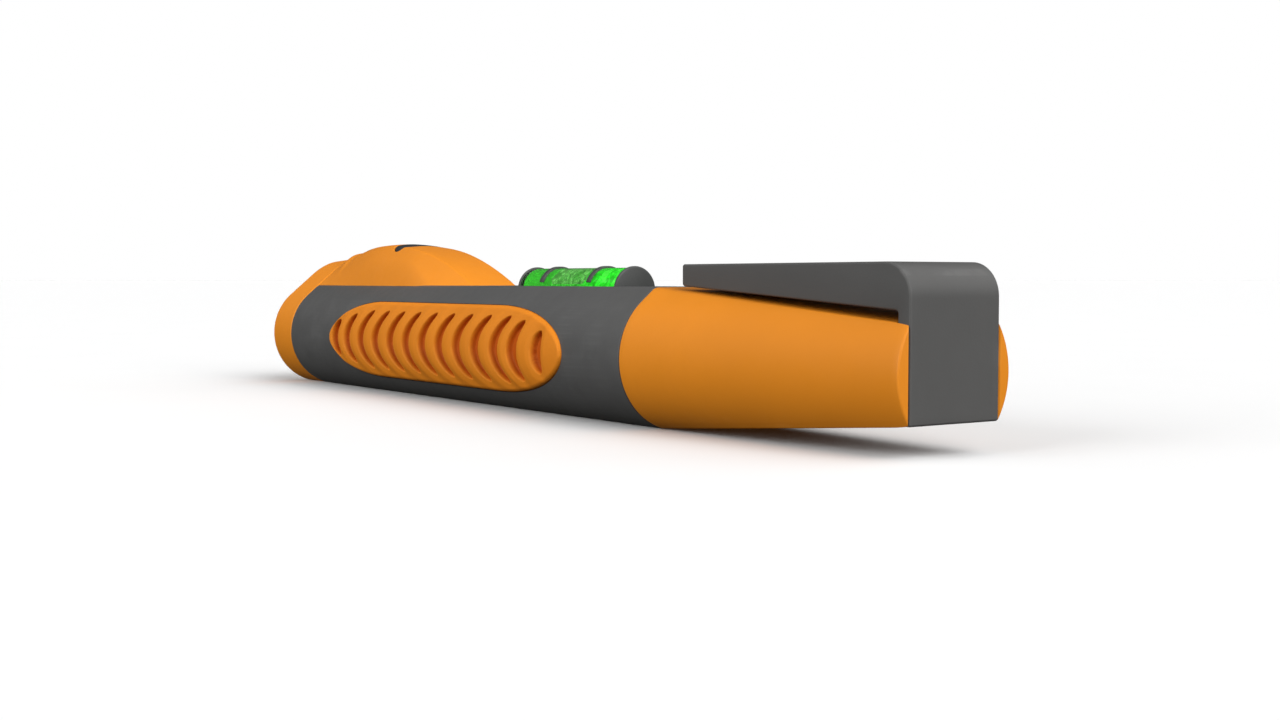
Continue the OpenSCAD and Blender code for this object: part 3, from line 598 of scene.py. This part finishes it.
# ---------------------------------------------------------------- finishes
class Graph:
    """Short names for building one material's nodes."""

    def __init__(self, name):
        self.mat = bpy.data.materials.new(name)
        self.mat.use_nodes = True
        self.tree = self.mat.node_tree
        self.shader = self.tree.nodes["Principled BSDF"]
        self.place = self.add("ShaderNodeTexCoord").outputs["Object"]

    def add(self, kind, links=(), **values):
        node = self.tree.nodes.new(kind)
        for key, value in values.items():
            setattr(node, key, value)
        for key, value in dict(links).items():
            self.put(node.inputs[key], value)
        return node

    def put(self, socket, value):
        if isinstance(value, bpy.types.NodeSocket):
            self.tree.links.new(value, socket)
        elif isinstance(value, tuple) and len(value) == 3 and socket.type == "RGBA":
            socket.default_value = (*value, 1)
        else:
            socket.default_value = value

    def noise(self, scale, detail=3.0, rough=0.5, stretch=None, distortion=0.0):
        """Noise from 0 to 1; scale is in features a metre."""
        where = self.place
        if stretch:
            where = self.add("ShaderNodeMapping", {"Vector": where, "Scale": stretch}).outputs[0]
        links = {"Vector": where, "Scale": scale, "Detail": detail,
                 "Roughness": rough, "Distortion": distortion}
        return self.add("ShaderNodeTexNoise", links).outputs[0]

    def math(self, how, a, b=0.5):
        node = self.add("ShaderNodeMath", operation=how)
        self.put(node.inputs[0], a)
        self.put(node.inputs[1], b)
        return node.outputs[0]

    def fit(self, value, a, b, c, d):
        """Maps value from a..b to c..d."""
        links = {"Value": value, "From Min": a, "From Max": b, "To Min": c, "To Max": d}
        return self.add("ShaderNodeMapRange", links).outputs[0]

    def mix(self, k, a, b):
        node = self.add("ShaderNodeMix", data_type="RGBA")
        self.put(node.inputs[0], k)
        self.put(node.inputs[6], a)
        self.put(node.inputs[7], b)
        return node.outputs[2]

    def bump(self, height, distance):
        links = {"Height": height, "Distance": distance, "Strength": 1.0}
        return self.add("ShaderNodeBump", links).outputs[0]

    def edges(self, low=0.515, high=0.56):
        point = self.add("ShaderNodeNewGeometry").outputs["Pointiness"]
        return self.fit(point, low, high, 0.0, 1.0)

    def axis(self, name):
        return self.add("ShaderNodeSeparateXYZ", {"Vector": self.place}).outputs[name]

    def done(self, **sockets):
        for key, value in sockets.items():
            self.put(self.shader.inputs[key.replace("_", " ")], value)
        return self.mat


def moulded(name, base, rough=0.42, spec=0.35, vary=0.06, grain=0.012, grain_scale=5200, wear_and_highlight=0.25,
            scratch=0.0, groove_shade=None):
    """Moulded plastic: faint clouds, a fine grain, edges made paler partly as rubbed wear and partly as a
    painted highlight, and in the grooves a painted shade colour.
    """
    g = Graph(name)
    cloud, speck = g.noise(70, 3), g.noise(900, 2, 0.6)
    dark = tuple(c * (1 - vary) for c in base)
    light = tuple(min(c * (1 + vary), 1) for c in base)
    colour = g.mix(g.fit(cloud, 0.35, 0.65, 0, 1), dark, light)
    colour = g.mix(g.fit(speck, 0.4, 0.75, 0, 0.35), colour, dark)
    # convex edges made paler: partly rubbed wear, partly a painted highlight along the edges
    rubbed_and_lit_edge = g.math("MULTIPLY", g.edges(), g.fit(g.noise(260, 3, 0.6), 0.42, 0.62, 0, wear_and_highlight))
    pale = tuple(min(c * 1.35 + 0.05, 1) for c in base)
    colour = g.mix(rubbed_and_lit_edge, colour, pale)
    # painted shade: the grooves get darker towards their floor, by depth below the grip's surface
    if groove_shade:
        out = g.math("SUBTRACT", g.math("ABSOLUTE", g.axis("Y"), 0.0), SIDE_C * MM)
        up = g.math("SUBTRACT", g.axis("Z"), MID * MM)
        r = g.math("SQRT", g.math("ADD", g.math("MULTIPLY", out, out), g.math("MULTIPLY", up, up)), 0.0)
        shade_mask = g.fit(r, (SIDE_R - 0.45) * MM, (SIDE_R + 0.1) * MM, 1, 0)
        colour = g.mix(shade_mask, colour, groove_shade)
    matt = g.fit(g.noise(420, 3), 0.3, 0.7, rough - 0.05, rough + 0.05)
    matt = g.math("ADD", matt, g.math("MULTIPLY", rubbed_and_lit_edge, 0.2))
    fine = g.noise(grain_scale, 2, 0.55)
    normal = g.bump(fine, grain * MM)
    if scratch:
        lines = g.noise(700, 4, 0.7, stretch=(0.12, 3.0, 3.0))
        matt = g.math("ADD", matt, g.fit(lines, 0.6, 0.72, 0, scratch))
    return g.done(Base_Color=colour, Roughness=matt, Normal=normal, Specular_IOR_Level=spec, IOR=1.5)


def metal(name, base, rough=0.3, brush=(1, 1, 1), tarnish=0.2):
    g = Graph(name)
    dark = tuple(c * (1 - tarnish) for c in base)
    stain = g.fit(g.noise(380, 4, 0.6), 0.38, 0.66, 0, 1)
    lines = g.noise(2600, 3, 0.6, stretch=brush)
    colour = g.mix(stain, base, dark)
    matt = g.math("ADD", g.fit(lines, 0.3, 0.7, rough - 0.07, rough + 0.07), g.math("MULTIPLY", stain, 0.1))
    return g.done(Base_Color=colour, Roughness=matt, Normal=g.bump(lines, 0.008 * MM), Metallic=1.0)


def circuit_board():
    """Green solder resist over faint copper tracks."""
    g = Graph("circuit_board")
    cell = g.add("ShaderNodeTexVoronoi", {"Vector": g.place, "Scale": 420.0, "Randomness": 0.0},
                 feature="DISTANCE_TO_EDGE").outputs["Distance"]
    route = g.noise(240, 2, 0.4, distortion=0.3)
    track = g.math("MULTIPLY", g.fit(cell, 0.02, 0.06, 1, 0), g.fit(route, 0.46, 0.5, 0, 1))
    ground = g.mix(g.fit(g.noise(160, 3), 0.35, 0.65, 0, 1), (0.006, 0.075, 0.03), (0.01, 0.1, 0.042))
    colour = g.mix(track, ground, (0.03, 0.2, 0.075))
    return g.done(Base_Color=colour, Roughness=g.fit(route, 0.3, 0.7, 0.24, 0.36),
                  Normal=g.bump(track, 0.03 * MM), Coat_Weight=0.3, Coat_Roughness=0.15)


def cell_jacket():
    """Printed cell sleeve: graphite with a copper band at the front end and a pale line beside it."""
    g = Graph("cell_jacket")
    x = g.axis("X")
    band = g.fit(x, -0.0022, -0.0019, 1, 0)
    ring_line = g.math("MULTIPLY", g.fit(x, -0.0026, -0.0024, 0, 1), band)
    colour = g.mix(g.fit(g.noise(300, 3), 0.35, 0.65, 0, 1), (0.03, 0.032, 0.036), (0.045, 0.047, 0.052))
    colour = g.mix(band, colour, (0.5, 0.2, 0.06))
    colour = g.mix(ring_line, colour, (0.75, 0.75, 0.72))
    scuff = g.fit(g.noise(900, 4, 0.7, stretch=(0.3, 2, 2)), 0.6, 0.75, 0, 0.5)
    colour = g.mix(scuff, colour, (0.16, 0.16, 0.16))
    return g.done(Base_Color=colour, Roughness=g.fit(g.noise(500), 0.3, 0.7, 0.22, 0.36),
                  Normal=g.bump(g.noise(1500, 2, stretch=(4, 0.4, 0.4)), 0.02 * MM),
                  Coat_Weight=0.4, Coat_Roughness=0.2)


def clear(name, base, rough=0.04, ior=1.49, through=1.0):
    g = Graph(name)
    haze = g.fit(g.noise(900, 4, 0.6), 0.35, 0.7, rough, rough + 0.05)
    tint = g.mix(g.fit(g.noise(200, 2), 0.35, 0.65, 0, 1), base, tuple(c * 0.97 for c in base))
    return g.done(Base_Color=tint, Roughness=haze, Normal=g.bump(g.noise(1400, 2), 0.004 * MM), IOR=ior,
                  Transmission_Weight=through)


def level_fluid():
    """Green vial fluid: darker and calm at the front, brighter towards the rear, with light and dark blots
    painted to stand for refraction, and a painted glow.
    """
    g = Graph("vial_liquid")
    x = g.axis("X")
    rear = g.fit(x, 0.0085, 0.0125, 0, 1)
    calm = g.fit(x, -0.0005, 0.0035, 1, 0)
    # painted refraction: light and dark blots, stronger towards the rear
    blot = g.noise(780, 5, 0.62, distortion=0.8)
    shade_mask = g.fit(blot, 0.34, 0.52, 1, 0)
    light = g.fit(blot, 0.50, 0.62, 0, 1)
    colour = g.mix(rear, (0.045, 0.50, 0.03), (0.02, 0.86, 0.02))
    colour = g.mix(g.math("MULTIPLY", light, g.fit(calm, 0, 1, 0.5, 0)), colour, (0.16, 0.95, 0.12))
    colour = g.mix(g.math("MULTIPLY", shade_mask, g.fit(calm, 0, 1, 0.65, 0.12)), colour, (0.02, 0.20, 0.015))
    # painted glow: the fluid emits its own colour
    return g.done(Base_Color=colour, Roughness=g.fit(blot, 0.3, 0.7, 0.18, 0.34),
                  IOR=1.36, Transmission_Weight=0.1,
                  Normal=g.bump(blot, 0.05 * MM), Emission_Color=colour, Emission_Strength=0.40)


def bubble_finish():
    """Air in the vial: green and grey mottling and a dark web, painted to stand for light refracted through
    it, with a painted glow.
    """
    g = Graph("vial_air")
    web = g.add("ShaderNodeTexVoronoi", {"Vector": g.place, "Scale": 1500.0},
                feature="DISTANCE_TO_EDGE").outputs["Distance"]
    blot = g.noise(1100, 4, 0.6, distortion=0.6)
    colour = g.mix(g.fit(blot, 0.36, 0.62, 0, 1), (0.07, 0.36, 0.05), (0.30, 0.82, 0.22))
    colour = g.mix(g.fit(web, 0.0, 0.12, 0.7, 0), colour, (0.07, 0.13, 0.06))
    # painted glow: the bubble emits its own colour
    return g.done(Base_Color=colour, Roughness=g.fit(blot, 0.3, 0.7, 0.12, 0.3),
                  IOR=1.2, Transmission_Weight=0.25,
                  Normal=g.bump(g.math("ADD", web, blot), 0.06 * MM),
                  Emission_Color=colour, Emission_Strength=0.22)


ORANGE = (0.78, 0.258, 0.017)
GREY = (0.088, 0.088, 0.087)
orange_shell = moulded("orange_shell", ORANGE, 0.42, 0.17, 0.03, 0.006, 5200, 0.25, 0.02)
grey_shell = moulded("grey_shell", GREY, 0.48, 0.25, 0.035, 0.010, 4200, 0.25, 0.015)
grey_clip = moulded("grey_clip", (0.096, 0.095, 0.093), 0.48, 0.22, 0.04, 0.010, 4200, 0.3, 0.02)
# the last colour is painted shade for the grip's grooves
grip_rubber = moulded("grip_rubber", (0.76, 0.236, 0.014), 0.6, 0.16, 0.05, 0.016, 3600, 0.12,
                      groove_shade=(0.52, 0.095, 0.003))
button_rubber = moulded("button_rubber", (0.030, 0.032, 0.035), 0.6, 0.2, 0.1, 0.02, 3000, 0.2)
seal_rubber = moulded("seal_rubber", (0.012, 0.012, 0.012), 0.65, 0.2, 0.2, 0.02, 3000, 0.1)
black_moulding = moulded("black_moulding", (0.018, 0.018, 0.019), 0.45, 0.3, 0.12, 0.012, 3600, 0.3)
vial_trim = moulded("vial_trim", (0.055, 0.057, 0.055), 0.42, 0.3, 0.12, 0.008, 4200, 0.2)
switch_red = moulded("switch_red", (0.5, 0.02, 0.015), 0.4, 0.4, 0.06, 0.008, 4200, 0.2)
chip_epoxy = moulded("chip_epoxy", (0.02, 0.02, 0.021), 0.55, 0.3, 0.15, 0.02, 6000, 0.15)
chip_ceramic = moulded("chip_ceramic", (0.42, 0.33, 0.22), 0.5, 0.35, 0.08, 0.012, 6000, 0.2)
red_insulation = moulded("red_insulation", (0.55, 0.015, 0.012), 0.42, 0.4, 0.05, 0.008, 3000, 0.1)
black_insulation = moulded("black_insulation", (0.015, 0.015, 0.016), 0.42, 0.4, 0.1, 0.008, 3000, 0.1)
led_lens = moulded("led_lens", (0.55, 0.1, 0.05), 0.2, 0.5, 0.05, 0.003, 3000, 0.0)
copper = metal("copper", (0.72, 0.34, 0.17), 0.32, (1, 3, 3), 0.3)
tinned_steel = metal("tinned_steel", (0.66, 0.66, 0.64), 0.3, (2, 0.6, 0.6), 0.25)
capacitor_can = metal("capacitor_can", (0.55, 0.56, 0.58), 0.28, (0.5, 2, 2), 0.15)
screw_steel = metal("screw_steel", (0.34, 0.34, 0.35), 0.36, (2, 2, 0.4), 0.3)
nickel_strip = metal("nickel_strip", (0.68, 0.66, 0.60), 0.28, (0.4, 2, 2), 0.2)
board_finish = circuit_board()
jacket = cell_jacket()
clear_window = clear("clear_window", (0.95, 0.80, 0.62), 0.06, 1.5, 0.85)
vial_acrylic = clear("vial_acrylic", (0.80, 1.0, 0.78), 0.03, 1.33)
vial_air = bubble_finish()
vial_liquid = level_fluid()

# ---------------------------------------------------------------- the pieces
nose = new_object("nose_shell", new_mesh("nose_shell", *nose_piece(), merge=1e-4))
boolean(nose, pocket(stadium(PAD_X, 0, BUTTON_L + 0.3, BUTTON_W + 0.3, 72), 20.9))
boolean(nose, pocket(oblong_box(LIGHT_X, 0, LIGHT_L + 0.16, LIGHT_W + 0.16, 0.7), 21.0, 0.12))
piece(nose, "housing", orange_shell, "nose_shell", slot="orange_shell", sharp=30)

stem = lathe([(0, 1.2), (3.05, 1.2), (3.05, 1.75), (4.0, 1.75), (4.0, 1.2), (7.0, 1.2)], 0, 0, 0, 40)
stem = (np.stack([BUTTON_X + stem[0][:, 1], stem[0][:, 2], 14.35 + stem[0][:, 0]], 1), stem[1])
pad = hump_pad(PAD_X, BUTTON_L, BUTTON_W, BUTTON_L / 2, 21.5, 0.02, 0.3)
button = new_object("sense_button", new_mesh("sense_button", *parts(pad, stem)))
piece(button, "sense_button", button_rubber, "sense_button", slot="button_rubber")

guide = block((LIGHT_X - 0.9, -2.0, 11.4), (LIGHT_X + 0.9, 2.0, 21.6))
pane = hump_pad(LIGHT_X, LIGHT_L, LIGHT_W, 0.62, 21.2, 0.02, 0.2)
window = new_object("light_window", new_mesh("light_window", *parts(pane, guide)))
piece(window, "housing", clear_window, "light_window", slot="clear_window")

piece(sleeve_piece(), "housing", grey_shell, "body_sleeve", slot="grey_shell", sharp=35)

for side, name in ((1, "left_grip"), (-1, "right_grip")):
    grip = new_object(name, new_mesh(name, *grip_piece(side), merge=1e-3))
    piece(grip, "housing", grip_rubber, name, slot="grip_rubber", sharp=60)

tube = lathe([(0, 2.3), (0, 2.92), (0.08, 3.0), (24.54, 3.0), (24.62, 2.92), (24.62, 2.3)],
             VIAL_X + 0.39, 0, VIAL_Z, 128, closed=True)
vial = new_object("vial_tube", new_mesh("vial_tube", *tube))
piece(vial, "housing", vial_acrylic, "vial_tube", slot="vial_acrylic")
liquid = new_object("vial_fluid", new_mesh("vial_fluid", *lathe(
    [(0, 2.2), (0.1, 2.31), (24.06, 2.31), (24.16, 2.2)], VIAL_X + 0.62, 0, VIAL_Z, 128)))
piece(liquid, "housing", vial_liquid, "vial_fluid", slot="vial_liquid")
air = new_object("vial_bubble", new_mesh("vial_bubble", *bubble_piece()))
piece(air, "level_bubble", vial_air, "vial_bubble", slot="vial_air")
for name, x, s in (("vial_cap_front", VIAL_X, 1), ("vial_cap_rear", VIAL_X + VIAL_L, -1)):
    lip = [(0, 2.95), (0.06, 3.13), (0.14, CAP_R), (0.34, CAP_R), (0.4, 3.1), (0.4, 2.26), (0.5, 2.2)]
    shell = lathe([(s * a, r) for a, r in lip], x, 0, VIAL_Z, 96)
    piece(new_object(name, new_mesh(name, *shell)), "housing", vial_trim, name, slot="vial_trim")
for name, s in (("ring_front", -0.5), ("ring_rear", 0.5)):
    shell = arc_bar(RING_MID + s * RING_PITCH, 3.01, 3.26, 0.95, 140)
    piece(new_object(name, new_mesh(name, *shell)), "housing", vial_trim, name, slot="vial_trim")

piece(tail_piece(), "tail_cap", orange_shell, "tail_cap", slot="orange_shell", sharp=35)

shells = [clip_piece()]
for y in (-3.0, 3.0):
    rod = lathe([(71.36, 0.95), (71.62, 1.2), (75.2, 1.2)], 0, y, MID, 40)
    shells.append(rod)
clip = new_object("pocket_clip", new_mesh("pocket_clip", *parts(*shells)))
piece(clip, None, grey_clip, "clip_bracket", "clip_arm", slot="grey_clip")
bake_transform(clip)

kept = {
    black_moulding: "chassis switch_body buzzer contact_carrier",
    board_finish: "main_board sensor_board board_link",
    copper: "sensor_plates",
    chip_epoxy: "controller_chip", chip_ceramic: "board_parts",
    capacitor_can: "reservoir_cap", tinned_steel: "shield_can",
    led_lens: "indicator_leds", switch_red: "switch_plunger",
    screw_steel: "board_screws case_screws push_nuts",
    nickel_strip: "plate_contact spring_contact bridge_contact bridge_spring",
    red_insulation: "lead_red", black_insulation: "lead_black",
    jacket: "left_cell right_cell", seal_rubber: "cap_seal",
}
for mat, names in kept.items():
    for name in names.split():
        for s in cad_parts[name].material_slots:
            s.material = mat

# ---------------------------------------------------------------- floor, light and camera
floor_mesh = bpy.data.meshes.new("floor")
floor_mesh.from_pydata([(-40, -40, 0), (40, -40, 0), (40, 40, 0), (-40, 40, 0)], [], [(0, 1, 2, 3)])
floor = new_object("floor", floor_mesh)
paper = Graph("paper")
tone = paper.mix(paper.fit(paper.noise(40, 2), 0.3, 0.7, 0, 1), (0.945, 0.945, 0.945), (0.955, 0.955, 0.955))
floor_mesh.materials.append(paper.done(Base_Color=tone, Roughness=0.9, Specular_IOR_Level=0.1))
floor.visible_diffuse = floor.visible_glossy = False

world = bpy.data.worlds.new("studio")
scene.world = world
world.use_nodes = True
nodes, links = world.node_tree.nodes, world.node_tree.links
nodes.clear()
make = lambda kind: nodes.new("ShaderNode" + kind)
seen, lit, mixer = make("Background"), make("Background"), make("MixShader")
split, fade, ramp = make("SeparateXYZ"), make("MapRange"), make("ValToRGB")
links.new(make("TexCoord").outputs["Generated"], split.inputs[0])
links.new(split.outputs["Z"], fade.inputs[0])
fade.inputs["From Min"].default_value = -1.0
links.new(fade.outputs[0], ramp.inputs[0])
below, above = ramp.color_ramp.elements
below.position, below.color = 0.40, (0.03, 0.028, 0.026, 1)
above.position, above.color = 0.56, (0.08, 0.08, 0.08, 1)
links.new(ramp.outputs[0], lit.inputs[0])
seen.inputs[0].default_value = (1, 1, 1, 1)
links.new(make("LightPath").outputs["Is Camera Ray"], mixer.inputs[0])
links.new(lit.outputs[0], mixer.inputs[1])
links.new(seen.outputs[0], mixer.inputs[2])
links.new(mixer.outputs[0], make("OutputWorld").inputs[0])


def sun(name, towards, strength, angle):
    lamp = bpy.data.lights.new(name, "SUN")
    lamp.energy, lamp.angle = strength, math.radians(angle)
    ob = new_object(name, lamp)
    ob.rotation_euler = Vector(towards).to_track_quat("Z", "Y").to_euler()


sun("key", (0.866, 0, 0.5), 2.65, 50)
sun("side", (0, -0.95, 0.30), 2.05, 44)
sun("back", (0.35, 0.55, 0.76), 1.35, 70)
sun("rim", (-0.54, -0.54, 0.64), 0.3, 50)

scene.view_settings.view_transform = "Standard"
scene.view_settings.look = "None"
lens = bpy.data.cameras.new("camera")
lens.sensor_width, lens.lens = 36, 43.37
lens.clip_start, lens.clip_end = 0.01, 200
camera = new_object("camera", lens)
camera.location = (0.1861, -0.1122, 0.0179)
camera.rotation_euler = Vector((-0.8266, 0.5604, -0.0521)).to_track_quat("-Z", "Y").to_euler()
scene.camera = camera

bpy.context.view_layer.update()
